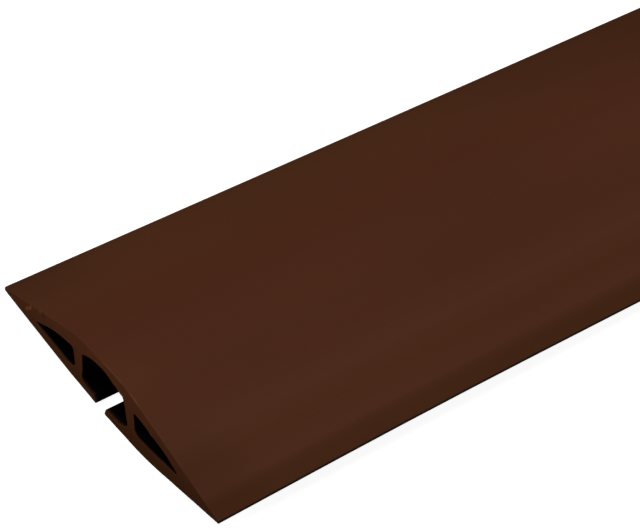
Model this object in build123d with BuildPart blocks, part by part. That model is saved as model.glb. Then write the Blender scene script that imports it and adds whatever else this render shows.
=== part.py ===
"""Floor cable cover: one length of soft PVC extrusion.

The top is a low dome that runs down to two thin lips. Along the middle is the cable channel, with an
arched ceiling and a slot in its floor: the soft slot lips are parted and the cable is pressed in from
below. A closed hollow along each wing lets the wing bend. Unloaded, the wings stand a little off the
floor, and tape or a foot presses them down. The slot is off the middle, so the foot is narrow on its
far side, where the wing starts to rise at once, and wide on its near side.

Millimetres. X runs along the strip, Y across it, Z up from the floor. The origin is on the floor under
the middle of the strip. The far wing is the one on the +Y side.
"""
import os

from build123d import *

# the stock
length = 914.4
width = 70.0
height = 13.1

# outer shape
crown_width = 15.0
shoulder_radius = 23.0
near_foot_width = 13.25
near_bend_radius = 45.0
far_foot_width = 0.8
far_bend_radius = 3.0
lip_rise = 4.1
lip_thickness = 0.6
lip_edge_radius = 0.2

# cable channel along the middle
channel_width = 15.2
channel_splay = 0.85
channel_floor = 1.7
crown_skin = 1.8
arch_rise = 1.8
eave_radius = 1.0
floor_corner_radius = 1.8

# slot through the channel floor, off the middle and wider at its top
slot_width = 2.8
slot_offset = 2.15
slot_lean = 0.75
slot_edge_radius = 0.3

# closed hollow along each wing, under a skin that is thinnest halfway out
web_thickness = 2.15
hollow_reach = 14.1
hollow_floor = 3.2
root_skin = 3.55
wing_skin = 2.65
tip_skin = 3.2
root_floor_radius = 1.2
root_roof_radius = 0.7
tip_radius = 0.35

# the slot, and the feet on both sides of it
slot_near_y = slot_offset - slot_width / 2
slot_far_y = slot_offset + slot_width / 2
near_foot_y = slot_near_y - near_foot_width
far_foot_y = slot_far_y + far_foot_width

# each flank is one straight slope from the crown to the lip
lip_y = width / 2
lip_top = lip_rise + lip_thickness
crown_y = crown_width / 2
flank_slope = (height - lip_top) / (lip_y - crown_y)

# the channel's walls lean in a little towards the top
wall_foot_y = channel_width / 2
eave_y = wall_foot_y - channel_splay
arch_top = height - crown_skin
eave_z = arch_top - arch_rise

# the hollow's roof bows up from root to tip, a skin's thickness below the flank
root_y = wall_foot_y + web_thickness
tip_y = root_y + hollow_reach
middle_y = (root_y + tip_y) / 2
root_roof_z = lip_top + flank_slope * (lip_y - root_y) - root_skin
middle_roof_z = lip_top + flank_slope * (lip_y - middle_y) - wing_skin
tip_z = lip_top + flank_slope * (lip_y - tip_y) - tip_skin

with BuildPart() as cover_strip:
    with BuildSketch(Plane.YZ) as section:
        with BuildLine():
            FilletPolyline(
                (near_foot_y, 0),
                (far_foot_y, 0),
                (lip_y, lip_rise),
                (lip_y, lip_top),
                (crown_y, height),
                (-crown_y, height),
                (-lip_y, lip_top),
                (-lip_y, lip_rise),
                radius=(
                    near_bend_radius,
                    far_bend_radius,
                    lip_edge_radius,
                    lip_edge_radius,
                    shoulder_radius,
                    shoulder_radius,
                    lip_edge_radius,
                    lip_edge_radius,
                ),
                close=True,
            )
        make_face()

        # cable channel and slot: the slot's lip faces lean back from the floor into the channel
        with BuildLine():
            FilletPolyline(
                (slot_near_y, 0),
                (slot_near_y - slot_lean, channel_floor),
                (-wall_foot_y, channel_floor),
                (-eave_y, eave_z),
                radius=(slot_edge_radius, floor_corner_radius),
            )
            ThreePointArc((-eave_y, eave_z), (0, arch_top), (eave_y, eave_z))
            FilletPolyline(
                (eave_y, eave_z),
                (wall_foot_y, channel_floor),
                (slot_far_y + slot_lean, channel_floor),
                (slot_far_y, 0),
                radius=(floor_corner_radius, slot_edge_radius),
            )
            Line((slot_far_y, 0), (slot_near_y, 0))
        make_face(mode=Mode.SUBTRACT)
        eaves = section.vertices().sort_by_distance((-eave_y, eave_z))[:1]
        eaves += section.vertices().sort_by_distance((eave_y, eave_z))[:1]
        fillet(eaves, radius=eave_radius)
        slot_mouth = section.vertices().sort_by_distance((slot_near_y, 0))[:1]
        slot_mouth += section.vertices().sort_by_distance((slot_far_y, 0))[:1]
        fillet(slot_mouth, radius=slot_edge_radius)

        # one hollow in each wing
        for side in (1, -1):
            root_floor = (side * root_y, hollow_floor)
            root_roof = (side * root_y, root_roof_z)
            tip = (side * tip_y, tip_z)
            with BuildLine():
                Line(root_roof, root_floor)
                Line(root_floor, tip)
                ThreePointArc(tip, (side * middle_y, middle_roof_z), root_roof)
            make_face(mode=Mode.SUBTRACT)
            fillet(section.vertices().sort_by_distance(root_floor)[:1], radius=root_floor_radius)
            fillet(section.vertices().sort_by_distance(root_roof)[:1], radius=root_roof_radius)
            fillet(section.vertices().sort_by_distance(tip)[:1], radius=tip_radius)
    extrude(amount=length / 2, both=True)

cover_strip.part.label = "cover_strip"
os.makedirs("parts", exist_ok=True)
export_step(cover_strip.part, "parts/cover_strip.step")
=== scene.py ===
# %% [markdown]
# # A floor cable cover in soft PVC
#
# The object is one length of stock: a strip of soft brown PVC that was pushed through a die and cut
# off. Its top is a low dome, its edges are thin lips, and its cut end shows three hollows: a cable
# channel in the middle, open through a slot below, and a closed hollow in each wing.
#
# The solid model already has the section that the die was cut for. This script adds what a drawing
# leaves out: how soft PVC settles, the worn edge of the cut, the slight wave of a soft lip, and a skin
# that shows how the strip was extruded. All lengths are in metres, so small sizes are written as
# a number of millimetres times `mm`.

# %% Load the frame
import math

import bmesh
import bpy
import numpy as np
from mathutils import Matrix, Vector
from mathutils.geometry import delaunay_2d_cdt


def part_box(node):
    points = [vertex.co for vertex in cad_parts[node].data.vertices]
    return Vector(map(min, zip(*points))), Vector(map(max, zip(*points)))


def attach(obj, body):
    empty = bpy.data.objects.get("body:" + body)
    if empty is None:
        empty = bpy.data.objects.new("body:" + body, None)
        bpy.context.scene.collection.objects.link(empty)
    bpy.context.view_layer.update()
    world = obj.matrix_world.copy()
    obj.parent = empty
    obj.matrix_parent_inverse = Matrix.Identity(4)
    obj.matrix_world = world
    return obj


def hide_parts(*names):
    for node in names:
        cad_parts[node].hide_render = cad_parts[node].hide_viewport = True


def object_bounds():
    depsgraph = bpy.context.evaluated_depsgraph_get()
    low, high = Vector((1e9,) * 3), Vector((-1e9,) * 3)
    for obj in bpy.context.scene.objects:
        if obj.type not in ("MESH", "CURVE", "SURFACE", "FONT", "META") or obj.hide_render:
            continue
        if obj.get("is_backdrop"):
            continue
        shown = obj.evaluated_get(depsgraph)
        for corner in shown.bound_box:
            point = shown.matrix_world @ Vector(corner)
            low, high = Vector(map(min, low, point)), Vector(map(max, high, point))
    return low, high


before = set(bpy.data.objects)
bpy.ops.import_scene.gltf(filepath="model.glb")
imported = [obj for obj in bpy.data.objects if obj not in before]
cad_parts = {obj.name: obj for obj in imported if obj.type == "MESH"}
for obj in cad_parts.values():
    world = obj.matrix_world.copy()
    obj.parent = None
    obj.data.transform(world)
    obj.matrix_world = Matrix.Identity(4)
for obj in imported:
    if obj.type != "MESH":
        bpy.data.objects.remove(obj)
cad_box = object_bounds()
strip_low, strip_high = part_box("cover_strip")
mm = 0.001
print("strip, mm:", [round(side / mm, 1) for side in strip_high - strip_low])

# %% [markdown]
# ## The section
#
# An extrusion is its section, pulled along a line. The section could be typed in again as a list of
# points, but then a change in the solid model would not reach this script. So it is read off the
# solid's own end face: keep only the faces that look along -X, and walk round the edges that are
# left open. That gives one outline for the outside, which runs through the slot and round the cable
# channel, and one for each wing's hollow.

# %% Read the outlines off the end face
# points closer than this are one point
weld_gap = 0.001 * mm
# a face of the end looks at least this straight along -X
end_normal_x = -0.99


def end_outlines(solid):
    """The outlines of the solid's -X end face, longest first, each an array of (y, z) points."""
    end_face = bmesh.new()
    end_face.from_mesh(solid.data)
    bmesh.ops.remove_doubles(end_face, verts=end_face.verts, dist=weld_gap)
    others = [face for face in end_face.faces if face.normal.x > end_normal_x]
    bmesh.ops.delete(end_face, geom=others, context="FACES")
    # a list and not a set, so that the walk starts at the same place in every run
    rim = [edge for edge in end_face.edges if edge.is_boundary]
    found = []
    while rim:
        edge = rim.pop()
        start, here = edge.verts
        outline = [start.co.yz]
        while here is not start:
            outline.append(here.co.yz)
            edge = next(other for other in here.link_edges if other in rim)
            rim.remove(edge)
            here = edge.other_vert(here)
        found.append(np.array(outline))
    end_face.free()
    return sorted(found, key=len, reverse=True)


def signed_area(outline):
    """Positive when the outline runs anticlockwise."""
    y, z = outline.T
    return 0.5 * float(np.sum(y * np.roll(z, -1) - np.roll(y, -1) * z))


outlines = end_outlines(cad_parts["cover_strip"])
# the PVC lies to the left of the walk: anticlockwise round the outside, clockwise round a hollow
for k, outline in enumerate(outlines):
    wanted = 1 if k == 0 else -1
    if signed_area(outline) * wanted < 0:
        outlines[k] = outline[::-1]
print("outlines:", [len(outline) for outline in outlines], "points")

# %% [markdown]
# ## Chords back to arcs
#
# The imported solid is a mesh, so every round in its section has become a few straight chords, and up
# close they show as facets. Smoothing the whole outline would also bend its straight runs.
#
# But every corner of this section is filleted, so each run flows into the next. The turn between two
# chords is then half of what the arc turns along the first, plus half of what it turns along the
# second, and a straight run turns by nothing. So the walk starts from the longest run, works out
# each chord's own turn from the one before it, and bends the chord back into the arc it came from.

# %% Bend the chords back
# a step along an arc turns by no more than this, and no step is longer than this
finest_turn = math.radians(10)
longest_step = 0.5 * mm
# a chord that turns by less than this, in radians, is straight
straight_enough = 1e-3


def chord_turns(outline):
    """How far the true curve turns along each chord of the outline, in radians."""
    chords = np.roll(outline, -1, axis=0) - outline
    heading = np.arctan2(chords[:, 1], chords[:, 0])
    corner = (heading - np.roll(heading, 1) + math.pi) % (2 * math.pi) - math.pi
    turns = np.zeros(len(outline))
    longest = int(np.argmax(np.linalg.norm(chords, axis=1)))
    for k in range(1, len(outline)):
        here = (longest + k) % len(outline)
        turns[here] = 2 * corner[here] - turns[here - 1]
    return turns


def with_arcs(outline):
    """The outline again, in short steps that follow its arcs."""
    points = []
    for start, end, turn in zip(outline, np.roll(outline, -1, axis=0), chord_turns(outline)):
        chord = end - start
        to_the_right = np.array((chord[1], -chord[0]))
        steps = math.ceil(max(abs(turn) / finest_turn, np.linalg.norm(chord) / longest_step))
        for share in np.arange(steps) / steps:
            point = start + share * chord
            if abs(turn) > straight_enough:
                swing = turn * (share - 0.5)
                along = 0.5 + math.sin(swing) / (2 * math.sin(turn / 2))
                bulge = (math.cos(swing) - math.cos(turn / 2)) / (2 * math.sin(turn / 2))
                point = start + along * chord + bulge * to_the_right
            points.append(point)
    return np.array(points)


outlines = [with_arcs(outline) for outline in outlines]
print("outlines with arcs:", [len(outline) for outline in outlines], "points")
pvc_area = sum(signed_area(outline) for outline in outlines)
print("section, mm2: %.2f" % (pvc_area / mm ** 2))

# %% [markdown]
# ## The section settles
#
# The solid's section is the one that the die was cut for. Soft PVC strays from it by up to 0.7 mm: it
# swells as it leaves the die, and then it is coiled, carried and pulled open for cables.
#
# On the slot's far side the floor has lifted and closed in. The channel's far wall has bulged at its
# foot, its floor has filled out in the near corner, and the near corner of its ceiling has gone square.
# Both wings' hollows have filled out at their roots. The far one has sagged towards its tip. The near
# one is a little short at its tip, and its roof has a ridge and is higher beyond it. A lattice could
# bend the section like that, but a short table of soft moves is easier to read: each one fades out
# round its place.

# %% Settle the soft section
# the middle of the slot
slot_y = 2.15 * mm
# each move: the place that moves most, how far round it the move reaches, and the move itself
soft_moves = (
    ((3.55 * mm, 0.0 * mm), (12.0 * mm, 4.0 * mm), (0.0 * mm, 0.4 * mm)),
    ((3.55 * mm, 0.0 * mm), (4.0 * mm, 4.0 * mm), (-0.4 * mm, 0.0 * mm)),
    ((7.6 * mm, 3.0 * mm), (2.0 * mm, 3.0 * mm), (0.35 * mm, 0.0 * mm)),
    ((-6.6 * mm, 2.2 * mm), (3.0 * mm, 2.4 * mm), (0.3 * mm, 0.7 * mm)),
    ((-5.4 * mm, 10.2 * mm), (1.3 * mm, 1.3 * mm), (0.0 * mm, -0.25 * mm)),
    ((-6.9 * mm, 9.4 * mm), (1.1 * mm, 1.6 * mm), (0.25 * mm, 0.25 * mm)),
    ((10.0 * mm, 3.7 * mm), (3.0 * mm, 1.8 * mm), (0.1 * mm, 0.6 * mm)),
    ((20.0 * mm, 5.9 * mm), (7.5 * mm, 2.6 * mm), (0.0 * mm, -0.3 * mm)),
    ((-10.6 * mm, 3.7 * mm), (3.4 * mm, 1.6 * mm), (0.0 * mm, 0.25 * mm)),
    ((-15.0 * mm, 8.0 * mm), (0.9 * mm, 0.9 * mm), (0.0 * mm, -0.35 * mm)),
    ((-19.4 * mm, 6.9 * mm), (3.2 * mm, 1.2 * mm), (0.0 * mm, 0.2 * mm)),
    ((-23.6 * mm, 4.9 * mm), (1.6 * mm, 1.2 * mm), (0.4 * mm, 0.15 * mm)),
)


def closeness(distance, reach):
    """1 at no distance, falling smoothly to 0 at the reach."""
    near = np.clip(1 - np.abs(distance) / reach, 0, 1)
    return near ** 2 * (3 - 2 * near)


def settled(outline):
    """The outline after its soft moves. A move never crosses the slot."""
    after = outline.copy()
    for place, reach, move in soft_moves:
        away = np.linalg.norm((outline - place) / reach, axis=1)
        this_side = (outline[:, 0] > slot_y) == (place[0] > slot_y)
        after += np.outer(closeness(away, 1.0) * this_side, move)
    return after


drawn_outlines = outlines
outlines = [settled(outline) for outline in drawn_outlines]
moved = [np.abs(after - before).max() for before, after in zip(drawn_outlines, outlines)]
print("settled by at most, mm:", [round(move / mm, 2) for move in moved])

# %% [markdown]
# ## One long list of points
#
# The steps that follow work on all the outlines at once, so the points go into one array. Two more
# arrays say how the points hang together: which one comes next, and which way the PVC lies. From the
# second it follows which points are in the channel, which look up and which look down.

# %% Join the outlines
section = np.concatenate(outlines)
count = len(section)
firsts = np.cumsum([0] + [len(outline) for outline in outlines[:-1]])
# the number of the next point round the same outline
ahead = np.concatenate([
    first + np.roll(np.arange(len(outline)), -1) for first, outline in zip(firsts, outlines)
])


def into_pvc(outline):
    """A unit vector at each point of the outline, in the section and towards the PVC."""
    chords = np.roll(outline, -1, axis=0) - outline
    chords /= np.linalg.norm(chords, axis=1, keepdims=True)
    along = chords + np.roll(chords, 1, axis=0)
    along /= np.linalg.norm(along, axis=1, keepdims=True)
    return np.column_stack((-along[:, 1], along[:, 0]))


inward = np.concatenate([into_pvc(outline) for outline in outlines])
print("section:", count, "points")

# %% Which face each point is on
# a face looks down where the PVC lies well above it, and up where the PVC lies almost straight below
above_enough, below_enough = 0.5, -0.8
faces_down = inward[:, 1] > above_enough
faces_up = inward[:, 1] < below_enough
# the channel: how far from the middle it reaches, how high the slot's lips are, and where the crown is
channel_y = 8.5 * mm
slot_z = 1.5 * mm
crown_z = 12 * mm
in_wing_hollow = np.arange(count) >= len(outlines[0])
# low down, a face that looks down is the underside, and one that doesn't is a lip of the slot
underneath = (section[:, 1] < slot_z) & faces_down
in_channel = ~in_wing_hollow & ~underneath
in_channel &= (np.abs(section[:, 0]) < channel_y) & (section[:, 1] < crown_z)
print("points in the channel:", in_channel.sum(), " in hollows:", in_wing_hollow.sum())

# %% [markdown]
# ## The worn cut
#
# A bevel modifier would round the cut evenly, and a real cut isn't even. The strip was chopped with
# a knife, so its edge is crisp, about a tenth of a millimetre round, but it isn't the same all the way.
# So the radius of the edge is worked out point by point round the section, as a small ripple. Along
# the near shoulder the edge also gets a painted highlight: it is paler where the light catches its
# round.

# %% Radius of the cut edge, point by point
cut_round = 0.1 * mm
# two ripples, each repeating every 2 pi of its length, change the radius by up to this share
ripple_lengths = (0.9 * mm, 3.7 * mm)
ripple_share = 0.3
# the stretch of edge with a painted highlight: its middle, half its length, and how pale it turns
highlight_y, highlight_half = -7 * mm, 14 * mm
highlight_share = 0.1
walked = np.cumsum(np.linalg.norm(section[ahead] - section, axis=1))
ripple = np.prod([np.sin(walked / length) for length in ripple_lengths], axis=0)
cut_edge = cut_round * (1 + ripple_share * ripple)
on_top = ~in_wing_hollow & ~in_channel & faces_up
# painted highlight along the near shoulder's cut edge, rippling with the edge's radius
painted_edge_highlight = highlight_share * (1 + ripple) * closeness(section[:, 0] - highlight_y, highlight_half) * on_top
print("cut edge radius, mm: %.2f to %.2f" % (cut_edge.min() / mm, cut_edge.max() / mm))

# %% [markdown]
# ## The rings
#
# The mesh is a row of rings, one ring of points at each station along X. An array or a curve bevel
# would make them too, but rings of our own can differ. At the cut they draw in round the worn edge and
# the worn corner of the far lip, and under the crown the knife has smeared the channel's soft ceiling
# down into a small burr. Further on each ring lifts or sinks a little towards its lips, because a soft
# lip is never dead straight: the near lip waves by almost half a millimetre, and the far one far less
# and more slowly. The foot stays on the floor.

# %% Shape one ring
# nearer the middle than this, nothing waves
wave_inner_y = 9 * mm
# each lip's wave: how high its first crest is, how long it is, and how far from the cut it starts
near_wave = (0.43 * mm, 152 * mm, 5 * mm)
far_wave = (-0.15 * mm, 600 * mm, 0 * mm)
# the burr: its middle, half its width, how far it hangs down, and how far in from the cut it goes
burr_y, burr_half, burr_drop, burr_reach = -3.5 * mm, 1.8 * mm, 0.3 * mm, 0.8 * mm
# the far lip's worn corner: its radius, and how far from the middle the wear starts
corner_round, corner_inner_y = 0.45 * mm, 32 * mm
on_ceiling = in_channel & faces_down


def lip_wave(x, y):
    """How far the soft wing stands off its drawn height at this place."""
    reach = np.clip((np.abs(y) - wave_inner_y) / (strip_high.y - wave_inner_y), 0, 1) ** 2
    crest, length, start = (np.where(y < 0, near, far) for near, far in zip(near_wave, far_wave))
    return crest * reach * np.sin(2 * math.pi * (x - strip_low.x - start) / length)


def burr(x, y):
    """How far the smeared ceiling hangs down at this place."""
    near_burr = closeness(y - burr_y, burr_half) * closeness(x - strip_low.x, burr_reach)
    return burr_drop * on_ceiling * near_burr


def worn_corner(x, y):
    """How far the rounded corner of the far lip draws this place in."""
    share = np.clip((y - corner_inner_y) / (strip_high.y - corner_inner_y), 0, 1)
    to_go = 1 - np.clip((x - strip_low.x) / corner_round, 0, 1)
    return corner_round * share * (1 - np.sqrt(1 - to_go ** 2))


def ring(x, inset):
    """The section at x, drawn in by inset. Both may differ from point to point."""
    y, z = (section + np.reshape(inset, (-1, 1)) * inward).T
    x = np.broadcast_to(x, y.shape)
    return np.column_stack((x, y - worn_corner(x, y), z + lip_wave(x, y) - burr(x, y)))


print("burr, mm: %.2f" % (burr(strip_low.x, section[:, 0]).max() / mm))

# %% Row up the rings
round_steps = 4
# the first rings behind the worn edge, by their distance from the cut: close where hollows turn dark
near_cut = np.array((0.4, 0.8, 1.3, 2.0, 3.0, 4.5, 7.0, 10.0)) * mm
# further on only the lips change, and slowly
station_gap = 14 * mm


def cut_rings(cut_x, into):
    """The rings round one cut's worn edge, and the first ones behind it. into is 1 or -1 along X."""
    turns = np.linspace(0, math.pi / 2, round_steps + 1)
    steps_in = [cut_edge * (1 - math.cos(turn)) for turn in turns]
    insets = [cut_edge * (1 - math.sin(turn)) for turn in turns]
    rounded = [ring(cut_x + into * step_in, inset) for step_in, inset in zip(steps_in, insets)]
    return rounded + [ring(cut_x + into * gap, 0.0) for gap in near_cut]


def all_rings():
    """Every ring from the -X cut to the +X cut, as one array."""
    start, end = strip_low.x + near_cut[-1], strip_high.x - near_cut[-1]
    between = np.linspace(start, end, math.ceil((end - start) / station_gap) + 1)[1:-1]
    near_end = cut_rings(strip_low.x, 1)
    far_end = cut_rings(strip_high.x, -1)
    return np.array(near_end + [ring(x, 0.0) for x in between] + far_end[::-1])


rings = all_rings()
print("rings:", len(rings), "of", count, "points")

# %% [markdown]
# ## The cut faces
#
# Filling the section with one flat face would do for a drawing. But a knife leaves a face that is
# a little hollow and wavy, and a wave needs points to move. So points are scattered over the section
# in offset rows, a Delaunay triangulation joins them to the rim, and each one sinks by a few
# hundredths of a millimetre.

# %% Fill a cut face
row_gap = 0.3 * mm
# points keep this far from the rim, so that few triangles there are slivers
rim_gap = 0.17 * mm
# the triangulation keeps only what lies inside the rim, and takes points this close, in mm, as one
inside_rim, same_point = 1, 1e-7


def in_pvc(points, rim):
    """True for each point in the PVC: a ray from it along +Y crosses the rim an odd number of times."""
    y, z = points.T
    crossings = np.zeros(len(points), int)
    for (y1, z1), (y2, z2) in zip(rim, rim[ahead]):
        spans = (z1 > z) != (z2 > z)
        meets = y1 + (z - z1) / ((z2 - z1) or 1.0) * (y2 - y1)
        crossings += spans & (y < meets)
    return crossings % 2 == 1


def scattered(rim):
    """Points in offset rows over the section, clear of its rim."""
    rows = np.arange(strip_low.z, strip_high.z, row_gap)
    places = np.arange(strip_low.y, strip_high.y, row_gap)
    points = np.array([(y + row_gap / 2 * (k % 2), z) for k, z in enumerate(rows) for y in places])
    points = points[in_pvc(points, rim)]
    gaps = np.array([np.min(np.linalg.norm(rim - point, axis=1)) for point in points])
    return points[gaps > rim_gap]


def cut_triangles(rim):
    """The points inside the rim, and the triangles that fill it, numbered rim first."""
    inner = scattered(rim)
    points = np.concatenate((rim, inner))
    edges = list(enumerate(ahead.tolist()))
    in_mm = [Vector(point) for point in points / mm]
    _, _, triangles, sources, _, _ = delaunay_2d_cdt(in_mm, edges, [], inside_rim, same_point)
    numbers = np.array([ids[0] for ids in sources])
    triangles = numbers[np.array(triangles)]
    centres = points[triangles].mean(axis=1)
    return inner, triangles[in_pvc(centres, rim)]


near_inner, near_triangles = cut_triangles(rings[0][:, 1:])
far_inner, far_triangles = cut_triangles(rings[-1][:, 1:])
print("cut faces:", len(near_triangles), "and", len(far_triangles), "triangles")

# %% The knife's wave
cut_wave_depth, cut_wave_length = 0.04 * mm, 4.2 * mm
# the wave's crests lean a little, and swell and fade across the strip
crest_lean, swell_rate, swell_start = 0.4, 0.7, 1.3


def cut_points(inner, x, into, torn):
    """The inner points of a cut face at x, sunk into the strip by the knife's wave and by tears."""
    y, z = inner.T * 2 * math.pi / cut_wave_length
    crests = np.sin(z + crest_lean * y) * np.sin(swell_rate * y + swell_start)
    wave = cut_wave_depth * (1 + crests) / 2
    return np.column_stack((x + into * (wave + torn), inner))


sunk = cut_points(near_inner, 0.0, 1, 0.0)[:, 0]
print("the knife's wave, mm: %.3f to %.3f" % (sunk.min() / mm, sunk.max() / mm))

# %% [markdown]
# ## Torn spots
#
# On the far wing of the end that shows, the blade tore the face instead of slicing it. That left a few
# pale flecks, and beside them a short crack that runs down from the edge. They could be painted on, but
# a tear has depth. So each is an oval of the cut face, slanted if it follows the edge. Its points sink
# in, and keep how pale the torn PVC is, or the painted shade inside the crack.

# %% Flecks and a crack
# each tear: its middle and its half sizes in the section, its fall towards the lip, how far it sinks,
# how pale it is, and how dark its painted shade is, which only the crack has
tears = (
    ((26.4 * mm, 5.8 * mm), (0.9 * mm, 0.7 * mm), 1.0, 0.08 * mm, 0.85, 0.0),
    ((25.1 * mm, 6.9 * mm), (0.9 * mm, 0.7 * mm), 1.0, 0.10 * mm, 0.95, 0.0),
    ((21.2 * mm, 8.6 * mm), (0.7 * mm, 0.6 * mm), 0.3, 0.06 * mm, 0.4, 0.0),
    # the crack: sunk in, and dark with painted shade
    ((20.1 * mm, 8.5 * mm), (0.4 * mm, 1.4 * mm), 0.0, 0.15 * mm, 0.0, 0.65),
)


def tears_at(points):
    """How far the tears sink each point of the section, how pale they turn it, and how dark."""
    total = np.zeros((len(points), 3))
    for middle, half, fall, *effect in tears:
        y, z = (points - middle).T
        away = np.hypot(y / half[0], (z + fall * y) / half[1])
        total += np.outer(closeness(away, 1.0), effect)
    return total


near_tears = tears_at(near_inner)
# the fleck on the edge and the crack run over the edge's round
edge_tears = np.array([tears_at(ring_points[:, 1:]) for ring_points in rings[:round_steps + 1]])
print("torn points:", np.count_nonzero(near_tears[:, 0]))
print("deepest, mm: %.2f" % (near_tears[:, 0].max() / mm))

# %% [markdown]
# ## The strip
#
# Rings and cut faces become one closed mesh. It stands for the solid's node, so the solid is hidden
# and this skin is seen. Each point also keeps two numbers that the finish needs: how much painted
# shade it takes deep in a hollow or a crack, where no light comes in, and how pale it is, from torn
# PVC or from a painted highlight along the near shoulder's cut edge.

# %% What each point keeps
# how far in from the cut each kind of hollow takes its full painted shade
channel_mouth = 0.75 * mm
wing_mouth = 0.35 * mm
# the far cut has no tears
untorn = np.zeros(len(far_inner))


def painted_shade():
    """Painted shade: 0 outside and at a hollow's mouth, 1 deep in where no light comes in, some in the
    crack.
    """
    x = rings[..., 0]
    from_cut = np.minimum(x - strip_low.x, strip_high.x - x)
    mouth = np.where(in_wing_hollow, wing_mouth, channel_mouth)
    # painted shade: the hollows turn dark a little way in from the cut
    depth = np.sqrt(np.clip(from_cut / mouth, 0, 1)) * (in_channel | in_wing_hollow)
    depth[:round_steps + 1] += edge_tears[..., 2]
    return np.concatenate((depth.ravel(), near_tears[:, 2], untorn))


def pale_wear_and_highlight():
    """How pale each point is: torn flecks, and the painted highlight on the near shoulder's cut edge.
    """
    pale = np.zeros(rings.shape[:2])
    pale[:round_steps + 1] = painted_edge_highlight + edge_tears[..., 1]
    return np.concatenate((pale.ravel(), near_tears[:, 1], untorn))


point_values = {"painted_shade": painted_shade(), "pale_wear_and_highlight": pale_wear_and_highlight()}
for name, values in point_values.items():
    print(name, "is up to %.2f, at" % values.max(), np.count_nonzero(values), "points")

# %% Build the strip
def cut_numbers(triangles, rim_start, inner_start):
    """A cut face's triangles, in the mesh's numbers for its rim and its inner points."""
    return np.where(triangles < count, triangles + rim_start, triangles - count + inner_start)


def build_strip():
    """The strip's mesh: quads between the rings, and triangles over each cut face."""
    side = rings.reshape(-1, 3)
    near_points = cut_points(near_inner, strip_low.x, 1, near_tears[:, 0])
    far_points = cut_points(far_inner, strip_high.x, -1, untorn)
    here = np.arange(count)
    band = np.column_stack((here, ahead, ahead + count, here + count))
    quads = np.concatenate([band + k * count for k in range(len(rings) - 1)])
    near_face = cut_numbers(near_triangles, 0, len(side))[:, ::-1]
    far_face = cut_numbers(far_triangles, len(side) - count, len(side) + len(near_points))
    points = np.concatenate((side, near_points, far_points))
    mesh = bpy.data.meshes.new("cover_strip_skin")
    mesh.from_pydata(points.tolist(), [], quads.tolist() + near_face.tolist() + far_face.tolist())
    is_cut = np.arange(len(mesh.polygons)) >= len(quads)
    mesh.polygons.foreach_set("material_index", is_cut.astype(np.int32))
    mesh.polygons.foreach_set("use_smooth", np.ones(len(mesh.polygons), bool))
    for name, values in point_values.items():
        mesh.attributes.new(name, "FLOAT", "POINT").data.foreach_set("value", values.astype(np.float32))
    return mesh


strip = bpy.data.objects.new("cover_strip_skin", build_strip())
bpy.context.collection.objects.link(strip)
# a vertex normal follows its larger face, so a flat flank stays flat right up to its rounded lip
weighted = strip.modifiers.new("flat faces lead", "WEIGHTED_NORMAL")
weighted.keep_sharp = True
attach(strip, "root")
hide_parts("cover_strip")
print("strip:", len(strip.data.polygons), "faces")

# %% Look the mesh over
check = bmesh.new()
check.from_mesh(strip.data)
open_edges = sum(not edge.is_manifold for edge in check.edges)
smallest_face = min(face.calc_area() for face in check.faces)
print("open edges:", open_edges, " smallest face, mm2: %.5f" % (smallest_face / mm ** 2))
print("volume, mm3: %.0f" % (check.calc_volume(signed=True) / mm ** 3))
check.free()

# %% [markdown]
# ## Helpers for the finish
#
# A finish is a tree of nodes. A few small helpers keep it readable. One turns the hex colours that
# a person reads into the linear values that a shader works in. One adds a node with its settings and
# links, one starts a material, and one makes a colour darker or lighter by a tint. The last lays wear
# and painted light over a brown, because both finishes have them: it reads the two numbers that every
# point keeps, and mixes in the pale of torn PVC and of a painted highlight, and the painted shade of a
# hollow or crack.

# %% Colour and node helpers
def linear(hex_colour):
    """An sRGB hex colour as the linear RGBA that shaders work in, by the sRGB standard's own curve."""
    channels = [int(hex_colour[k:k + 2], 16) / 255 for k in (1, 3, 5)]
    return (*[c / 12.92 if c <= 0.04045 else ((c + 0.055) / 1.055) ** 2.4 for c in channels], 1.0)


def add_node(tree, kind, inputs=None, **settings):
    """A new node with its settings. Each input is a value, or the output socket to link from."""
    made = tree.nodes.new(kind)
    for name, value in settings.items():
        setattr(made, name, value)
    for key, value in (inputs or {}).items():
        if isinstance(value, bpy.types.NodeSocket):
            tree.links.new(value, made.inputs[key])
        else:
            made.inputs[key].default_value = value
    return made


def new_material(name):
    """A node material, its tree and its Principled shader."""
    material = bpy.data.materials.new(name)
    material.use_nodes = True
    return material, material.node_tree, material.node_tree.nodes["Principled BSDF"]


def shaded(tree, colour, tint):
    """The colour times the tint: darker below 1, lighter above."""
    return add_node(
        tree, "ShaderNodeMix", {"Factor": 1.0, "A": colour, "B": tint},
        data_type="RGBA", blend_type="MULTIPLY",
    ).outputs["Result"]


# pale torn PVC, also the colour of the painted highlight; near black, the painted shade of hollows and
# the crack
torn_pvc_and_highlight = linear("#7A4A2E")
unlit_pvc = linear("#020101")


def with_wear_and_painted_light(tree, brown):
    """The brown, pale where torn or under the painted highlight, and dark with painted shade in a
    hollow.
    """
    for attribute, colour in (("pale_wear_and_highlight", torn_pvc_and_highlight), ("painted_shade", unlit_pvc)):
        share = add_node(tree, "ShaderNodeAttribute", attribute_name=attribute).outputs["Fac"]
        brown = add_node(
            tree, "ShaderNodeMix", {"Factor": share, "A": brown, "B": colour}, data_type="RGBA"
        ).outputs["Result"]
    return brown


print("torn PVC, linear:", [round(c, 4) for c in torn_pvc_and_highlight])

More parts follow.
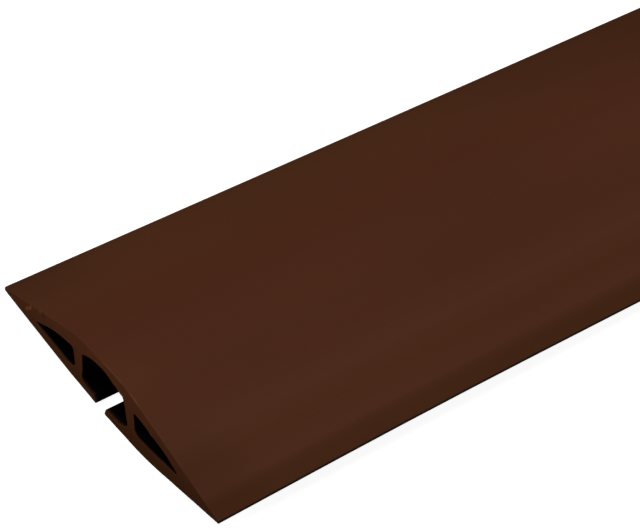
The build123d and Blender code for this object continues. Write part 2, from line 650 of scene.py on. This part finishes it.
# %% [markdown]
# ## The extruded skin: colour
#
# The brown is mixed into the PVC, so it is the same all through. A colour ramp across Y paints light
# and shade over it in bands along the strip: painted shade along the near lip and, less, the far one,
# a painted sheen on the near flank, and small steps that even out the lamps' shading. Five faint marks
# lie over the bands: two darker corners and a lighter crown at the cut, where the crown's is a painted
# sheen, and two darker patches further along the far lip. Each is a ball of tint that fades out.

# %% Extruded skin: bands and marks
skin, tree, shader = new_material("flexible PVC, extruded matt, brown")
place = add_node(tree, "ShaderNodeTexCoord").outputs["Object"]
# each band: its place across the strip, and its brown, whose differences are painted light and shade
bands = (
    (-32.4 * mm, "#402210"),
    (-30.2 * mm, "#492818"),
    (-25.5 * mm, "#472615"),
    (-21.0 * mm, "#4A2919"),
    (-15.0 * mm, "#482616"),
    (0.0 * mm, "#472617"),
    (4.0 * mm, "#462516"),
    (11.0 * mm, "#482616"),
    (18.0 * mm, "#482717"),
    (32.8 * mm, "#462716"),
    (34.0 * mm, "#402516"),
)
across = add_node(tree, "ShaderNodeSeparateXYZ", {"Vector": place})
ramp_place = add_node(
    tree, "ShaderNodeMapRange",
    {"Value": across.outputs["Y"], "From Min": strip_low.y, "From Max": strip_high.y},
)
brown = add_node(tree, "ShaderNodeValToRGB", {"Fac": ramp_place.outputs["Result"]})
brown.color_ramp.elements.remove(brown.color_ramp.elements[-1])
for k, (y, colour) in enumerate(bands):
    position = (y - strip_low.y) / (strip_high.y - strip_low.y)
    stop = brown.color_ramp.elements.new(position) if k else brown.color_ramp.elements[0]
    stop.position = position
    stop.color = linear(colour)
tone = brown.outputs["Color"]

# each mark: its middle, how far it reaches, and how light the skin is in its middle
marks = (
    ((strip_low.x + 5 * mm, strip_high.y, 5 * mm), 19 * mm, 0.86),
    ((strip_low.x, -28 * mm, 6 * mm), 17 * mm, 0.85),
    # a painted sheen: the crown is lighter at the cut
    ((strip_low.x, -6 * mm, strip_high.z), 14 * mm, 1.07),
    ((strip_low.x + 115 * mm, 32 * mm, 5 * mm), 30 * mm, 0.9),
    ((strip_low.x + 155 * mm, 26 * mm, 6 * mm), 48 * mm, 0.8),
)
for middle, reach, lightness in marks:
    away = add_node(tree, "ShaderNodeVectorMath", {0: place, 1: middle}, operation="DISTANCE")
    tint = add_node(
        tree, "ShaderNodeMapRange",
        {"Value": away.outputs["Value"], "From Max": reach, "To Min": lightness},
        interpolation_type="SMOOTHSTEP",
    )
    tone = shaded(tree, tone, tint.outputs["Result"])
print("skin:", len(bands), "bands,", len(marks), "marks")

# %% [markdown]
# ## The extruded skin: grain and gloss
#
# Up close the skin has fine lines along the strip, scored by the die, and a dusty grain from the
# chalk in the PVC. To the eye it is a dull skin with hardly a highlight, a shade streaky lengthwise.
# Noise gives both: stretched along X for the lines, even for the grain. A third noise, as wide as
# a hand, clouds the colour a little, as it does where a batch of PVC is never quite evenly mixed.

# %% Extruded skin: die lines, clouds and grain
cloud_size = 70 * mm
line_gap, line_run = 1.1 * mm, 500 * mm
# real grain is about 0.05 mm wide, too fine to show, so it is drawn eight times as coarse
grain_size = 8 * 0.05 * mm
stretch = (1 / line_run, 1 / line_gap, 1 / line_gap)
stretched = add_node(tree, "ShaderNodeVectorMath", {0: place, 1: stretch}, operation="MULTIPLY")
die_lines = add_node(
    tree, "ShaderNodeTexNoise", {"Vector": stretched.outputs["Vector"], "Scale": 1.0, "Detail": 3.0}
).outputs["Fac"]
clouds = add_node(
    tree, "ShaderNodeTexNoise", {"Vector": place, "Scale": 1 / cloud_size, "Detail": 2.0}
).outputs["Fac"]
grain = add_node(
    tree, "ShaderNodeTexNoise", {"Vector": place, "Scale": 1 / grain_size, "Detail": 2.0}
).outputs["Fac"]
print("die lines per metre: %.0f, grain per metre: %.0f" % (1 / line_gap, 1 / grain_size))

# %% Extruded skin: tint and relief
# nearly all of a noise lies between these values
noise_low, noise_high = 0.25, 0.75
# by how much the clouds and the lines darken and lighten the skin
cloud_spread, line_spread = 0.06, 0.03
# how high the lines and the grain stand, and how strongly they show
line_height, line_strength = 0.05 * mm, 0.12
grain_height, grain_strength = 0.03 * mm, 0.08


def patterned(tree, colour, pattern, spread):
    """The colour, darker by the spread where the noise is low and lighter where it is high."""
    limits = {"From Min": noise_low, "From Max": noise_high, "To Min": 1 - spread, "To Max": 1 + spread}
    tint = add_node(tree, "ShaderNodeMapRange", {"Value": pattern, **limits})
    return shaded(tree, colour, tint.outputs["Result"])


tone = patterned(tree, tone, clouds, cloud_spread)
tone = patterned(tree, tone, die_lines, line_spread)
ridges = add_node(
    tree, "ShaderNodeBump", {"Height": die_lines, "Strength": line_strength, "Distance": line_height}
).outputs["Normal"]
dusty = add_node(
    tree, "ShaderNodeBump",
    {"Height": grain, "Normal": ridges, "Strength": grain_strength, "Distance": grain_height},
)
print("tint of the clouds: %.2f, of the lines: %.2f" % (cloud_spread, line_spread))

# %% Extruded skin: wear and gloss
# how rough the skin is, from its smoothest lines to its dullest
smoothest, dullest = 0.6, 0.72
pvc_index = 1.53
rough = add_node(
    tree, "ShaderNodeMapRange", {"Value": die_lines, "To Min": smoothest, "To Max": dullest}
)
tree.links.new(with_wear_and_painted_light(tree, tone), shader.inputs["Base Color"])
tree.links.new(rough.outputs["Result"], shader.inputs["Roughness"])
tree.links.new(dusty.outputs["Normal"], shader.inputs["Normal"])
# PVC's own index, with the highlight turned down until it is as dull as the real skin
shader.inputs["IOR"].default_value = pvc_index
shader.inputs["Specular IOR Level"].default_value = 0.04
strip.data.materials.append(skin)
print("material 0:", skin.name)

# %% [markdown]
# ## The cut face: finish
#
# The same brown PVC, but sliced. Its colour follows the height: painted shade makes it darker towards
# the foot and lighter towards the top, and the lighter part reaches a little lower on the far side.
# Fine streaks run down the way that the blade went.

# %% Knife-cut face
cut_face, tree, shader = new_material("flexible PVC, knife-cut, brown")
place = add_node(tree, "ShaderNodeTexCoord").outputs["Object"]
# real knife marks are about 0.1 mm apart, too fine to show, so they are drawn four times as coarse
mark_gap, mark_run = 4 * 0.1 * mm, 6 * mm
# by how much the marks darken and lighten the face, how deep they are, and how strongly they show
mark_spread, mark_depth, mark_strength = 0.08, 0.05 * mm, 0.2
# the browns at the foot and at the top, a painted shade from dark to light, and how high up it is fully
# light
shaded_foot_brown, lit_top_brown = linear("#3A2010"), linear("#4E2B1A")
lit_height = 12 * mm
# towards the far side every height counts for more, by this share of the distance across
far_side_lift = 0.1
height = add_node(
    tree, "ShaderNodeVectorMath", {0: place, 1: (0.0, far_side_lift, 1.0)}, operation="DOT_PRODUCT"
)
lit_share = add_node(
    tree, "ShaderNodeMapRange", {"Value": height.outputs["Value"], "From Max": lit_height}
)
brown = add_node(
    tree, "ShaderNodeMix",
    {"Factor": lit_share.outputs["Result"], "A": shaded_foot_brown, "B": lit_top_brown},
    data_type="RGBA",
)
stretch = (1 / mark_run, 1 / mark_gap, 1 / mark_run)
stretched = add_node(tree, "ShaderNodeVectorMath", {0: place, 1: stretch}, operation="MULTIPLY")
marks_down = add_node(
    tree, "ShaderNodeTexNoise", {"Vector": stretched.outputs["Vector"], "Scale": 1.0, "Detail": 3.0}
).outputs["Fac"]
streaked = patterned(tree, brown.outputs["Result"], marks_down, mark_spread)
scored = add_node(
    tree, "ShaderNodeBump", {"Height": marks_down, "Strength": mark_strength, "Distance": mark_depth}
)
tree.links.new(with_wear_and_painted_light(tree, streaked), shader.inputs["Base Color"])
tree.links.new(scored.outputs["Normal"], shader.inputs["Normal"])
# a sliced face scatters light even more than the skin does
shader.inputs["Roughness"].default_value = 0.85
shader.inputs["IOR"].default_value = pvc_index
shader.inputs["Specular IOR Level"].default_value = 0.03
strip.data.materials.append(cut_face)
print("material 1:", cut_face.name, " knife marks per metre: %.0f" % (1 / mark_gap))

# %% [markdown]
# ## The floor
#
# The floor is a white light table that curves up into a wall all round, so no horizon shows from any
# side. A plain white plane would turn grey further out. The table glows instead, bright enough to read
# as white, and it still takes a faint shadow that says that the strip stands on it.

# %% Light table: shape
# in metres: how far the table reaches, how high its wall is, and how wide the curve between them
table_reach = 6.0
wall_height = 3.0
curve_radius = 1.5
# how many faces go round the table, and up its curve
around = 64
curve_steps = 8


def table_profile():
    """Distance and height of each ring of the table, from its floor to the top of its wall."""
    turns = [math.pi / 2 * k / curve_steps for k in range(curve_steps + 1)]
    flat_reach = table_reach - curve_radius
    curve = [(flat_reach + curve_radius * math.sin(t), curve_radius * (1 - math.cos(t))) for t in turns]
    return curve + [(table_reach, wall_height)]


def build_table():
    """One face for the floor, and quads up the curve and the wall."""
    profile = table_profile()
    angles = [2 * math.pi * k / around for k in range(around)]
    points = [(r * math.cos(a), r * math.sin(a), z) for r, z in profile for a in angles]
    faces = [tuple(range(around))]
    for level in range(len(profile) - 1):
        for k in range(around):
            low = level * around + k
            low_next = level * around + (k + 1) % around
            faces.append((low, low + around, low_next + around, low_next))
    mesh = bpy.data.meshes.new("light_table")
    mesh.from_pydata(points, [], faces)
    return mesh


table = bpy.data.objects.new("light_table", build_table())
bpy.context.collection.objects.link(table)
table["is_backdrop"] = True
print("light table, m across:", 2 * table_reach)

# %% Light table: glow
white = linear("#FFFFFF")
acrylic, tree, shader = new_material("opal acrylic, cast and lit from below, white")
shader.inputs["Base Color"].default_value = linear("#959593")
shader.inputs["Roughness"].default_value = 0.9
shader.inputs["Emission Color"].default_value = white
# with the lamps' light on top, this is just enough to read as white
shader.inputs["Emission Strength"].default_value = 0.93
table.data.materials.append(acrylic)
# the strip takes its light from the lamps alone, so the table's glow doesn't fill its hollows
table.visible_diffuse = False
table.visible_glossy = False
# the lamp under the table shines through it
table.visible_shadow = False
print("table material:", acrylic.name)

# %% [markdown]
# ## The lights
#
# Dull PVC needs broad light: a small lamp would only pick out its grain. One large softbox hangs
# overhead, a little towards the cut, and a smaller one stands beyond each end, because from above
# alone a cut face would be black. They stand in line with the strip, so that neither flank is favoured
# and the thin edges of both lips stay dark, as they are on the real one.
#
# Seen low along the strip, all the light from the ends would turn so dull a skin grey. So most of it
# gives no highlight, and a weak lamp in the same place gives the faint sheen. The table's own lamp is
# the last one: it keeps the raised wings from being black underneath.

# %% Softboxes
def softbox(name, towards, distance, side, watts, highlight=True):
    """A square area light that shines on the middle of the strip from the given direction."""
    lamp = bpy.data.lights.new(name, "AREA")
    lamp.shape = "SQUARE"
    lamp.size = side
    lamp.energy = watts
    holder = bpy.data.objects.new(name, lamp)
    bpy.context.collection.objects.link(holder)
    way = Vector(towards).normalized()
    holder.location = way * distance
    holder.rotation_euler = (-way).to_track_quat("-Z", "Y").to_euler()
    holder.visible_camera = False
    holder.visible_glossy = highlight
    print(name, "at, m:", [round(place, 2) for place in holder.location])


softbox("overhead", (-0.15, 0.0, 1.0), distance=4.0, side=3.0, watts=127)
for end_name, way in (("left", -1.0), ("right", 1.0)):
    from_end = (way, 0.0, 0.35)
    softbox("end_" + end_name, from_end, distance=3.0, side=1.2, watts=36, highlight=False)
    softbox("sheen_" + end_name, from_end, distance=3.0, side=1.2, watts=7)
softbox("under_table", (0.0, 0.0, -1.0), distance=1.5, side=0.6, watts=7, highlight=False)

# %% Light from the room
# a little light from all round, as pale walls would give
world = bpy.data.worlds.new("studio")
world.use_nodes = True
room = world.node_tree.nodes["Background"]
room.inputs["Color"].default_value = white
room.inputs["Strength"].default_value = 0.03
bpy.context.scene.world = world
# white stays white, and the browns stay as they were mixed
bpy.context.scene.view_settings.view_transform = "Standard"
print("room light: %.2f" % room.inputs["Strength"].default_value)

# %% [markdown]
# ## The camera
#
# The picture looks down on the cut end from the near side, and the strip runs out of it at the right.
# A long lens from a third of a metre away gives the same slow narrowing towards the far end. The camera
# is placed from the cut, not from the middle, so it stays right if the strip's length changes.

# %% Camera
# from the middle of the cut: how far beyond the end it stands, how far to the near side, and how high
camera_beyond, camera_aside, camera_up = 114.3 * mm, 220.7 * mm, 246.2 * mm
# how far it looks down and to the right, in degrees
look_down, look_right = 40.75, 35.89
camera = bpy.data.cameras.new("camera")
camera.sensor_fit = "HORIZONTAL"
camera.sensor_width = 36.0
camera.lens = 113.42
camera.clip_start = 0.01
eye = bpy.data.objects.new("camera", camera)
bpy.context.collection.objects.link(eye)
eye.location = (strip_low.x - camera_beyond, -camera_aside, camera_up)
eye.rotation_euler = (math.radians(90 - look_down), 0, math.radians(-look_right))
bpy.context.scene.camera = eye
print("camera to the cut, m: %.3f" % (eye.location - Vector((strip_low.x, 0, 0))).length)

# %% [markdown]
# ## Sizes
#
# The skin stands for the solid, so it should stay within the solid's box. The largest difference
# between the two boxes is printed.

# %% Compare the sizes, then finish
skin_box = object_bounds()
grown = [max(abs(a - b) for a, b in zip(cad, seen)) / mm for cad, seen in zip(cad_box, skin_box)]
print("largest difference from the solid's box, mm:", [round(side, 3) for side in grown])
